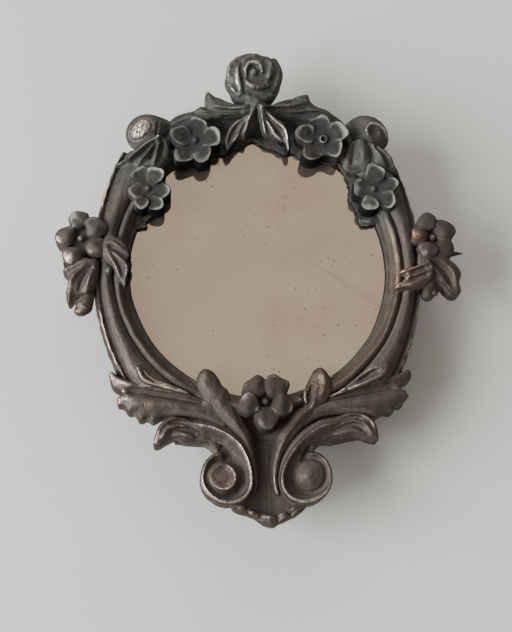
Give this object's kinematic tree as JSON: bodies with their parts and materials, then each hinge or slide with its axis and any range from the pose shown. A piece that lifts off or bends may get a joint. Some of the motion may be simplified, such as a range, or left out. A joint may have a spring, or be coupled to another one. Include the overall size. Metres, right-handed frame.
{
  "type": "mirror brooch",
  "caption": "Miniature round mirror in a cast rococo frame of scrolls, leaves and flowers, worn as a brooch on a hinged pin.",
  "frame": {"origin": "centre of the back plate's outer face, on the mirror's axis", "axes": "+Z out of the mirror's front, +Y to the rose at the crest, +X to the right as seen from the front"},
  "size_m": [0.0461, 0.0539, 0.0099],
  "materials": {
    "oxidised_silver": "cast silver, oxidised dark, rubbed bright on the ridges",
    "mirror_glass": "aged silvered glass with fine dark spots",
    "card": "matte",
    "back_brass": "dull, tarnished",
    "fitting_silver": "worn silver",
    "pin_steel": "drawn wire, lightly tarnished"
  },
  "bodies": {
    "frame": {"back_plate": "back_brass", "backing_card": "card", "base_acanthus_left": "oxidised_silver", "base_acanthus_right": "oxidised_silver", "base_flower": "oxidised_silver", "base_shell": "oxidised_silver", "base_stem": "oxidised_silver", "base_upright_leaf_left": "oxidised_silver", "base_upright_leaf_right": "oxidised_silver", "base_volute_left": "oxidised_silver", "base_volute_right": "oxidised_silver", "catch": "fitting_silver", "corner_leaf_left": "oxidised_silver", "corner_leaf_right": "oxidised_silver", "crest_band": "oxidised_silver", "crest_flower_left": "oxidised_silver", "crest_flower_right": "oxidised_silver", "crest_leaf_left": "oxidised_silver", "crest_leaf_right": "oxidised_silver", "crest_rose": "oxidised_silver", "hinge_base": "fitting_silver", "hinge_rivet": "pin_steel", "mirror_plate": "mirror_glass", "pendant_leaf_left": "oxidised_silver", "pendant_leaf_right": "oxidised_silver", "rail_leaf_left": "oxidised_silver", "rail_leaf_right": "oxidised_silver", "rim": "oxidised_silver", "shoulder_flower_left": "oxidised_silver", "shoulder_flower_right": "oxidised_silver", "shoulder_leaf_left": "oxidised_silver", "shoulder_leaf_right": "oxidised_silver", "shoulder_volute_left": "oxidised_silver", "shoulder_volute_right": "oxidised_silver", "side_bud_left": "oxidised_silver", "side_bud_right": "oxidised_silver", "side_flower_left": "oxidised_silver", "side_flower_right": "oxidised_silver", "side_leaf_left": "oxidised_silver", "side_leaf_right": "oxidised_silver", "side_rail_left": "oxidised_silver", "side_rail_right": "oxidised_silver", "tabbed_bezel": "back_brass"},
    "pin": {"pin_stem": "pin_steel"}
  },
  "joints": [
    {"name": "pin_swing", "type": "hinge", "parent": "frame", "child": "pin", "pos_m": [-0.0173, 0.0034, -0.0031], "axis": [0, 1, 0], "range_deg": [0, 110]}
  ]
}
